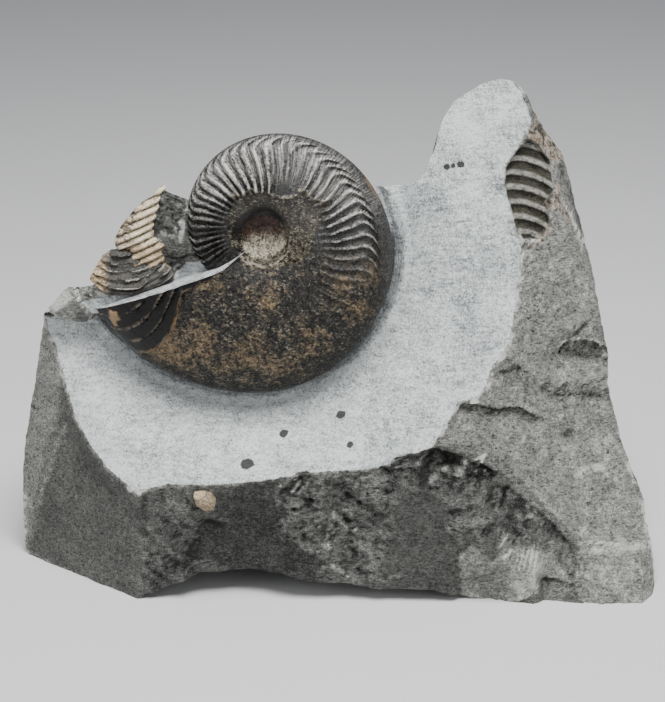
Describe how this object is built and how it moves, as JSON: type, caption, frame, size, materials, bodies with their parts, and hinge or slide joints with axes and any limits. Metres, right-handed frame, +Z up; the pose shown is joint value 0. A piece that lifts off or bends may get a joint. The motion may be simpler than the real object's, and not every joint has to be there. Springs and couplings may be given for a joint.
{
  "type": "ammonite fossil in matrix",
  "caption": "Ribbed ammonite standing half free in a smooth worked bowl on a block of dark shale that rests on a flat base.",
  "frame": {"origin": "middle of the flat base", "axes": "+Z up, +X along the block's length to the right, -Y out of the side that shows the ammonite"},
  "size_m": [0.2531, 0.1227, 0.1916],
  "materials": {
    "matrix": "dark grey shale, rough where it is broken, with a fine matt light grey surface in the worked bowl",
    "ammonite": "near-black fossil shell with a dull gloss, mottled brown and tan on the last chamber",
    "shell_fragment": "tan and cream fossil shell, matt, with dark layers at its lower edge",
    "shell_chip": "small matt tan chip of fossil shell"
  },
  "bodies": {
    "root": {"matrix": "matrix", "ammonite": "ammonite", "shell_fragment": "shell_fragment", "shell_chip": "shell_chip"}
  },
  "joints": []
}
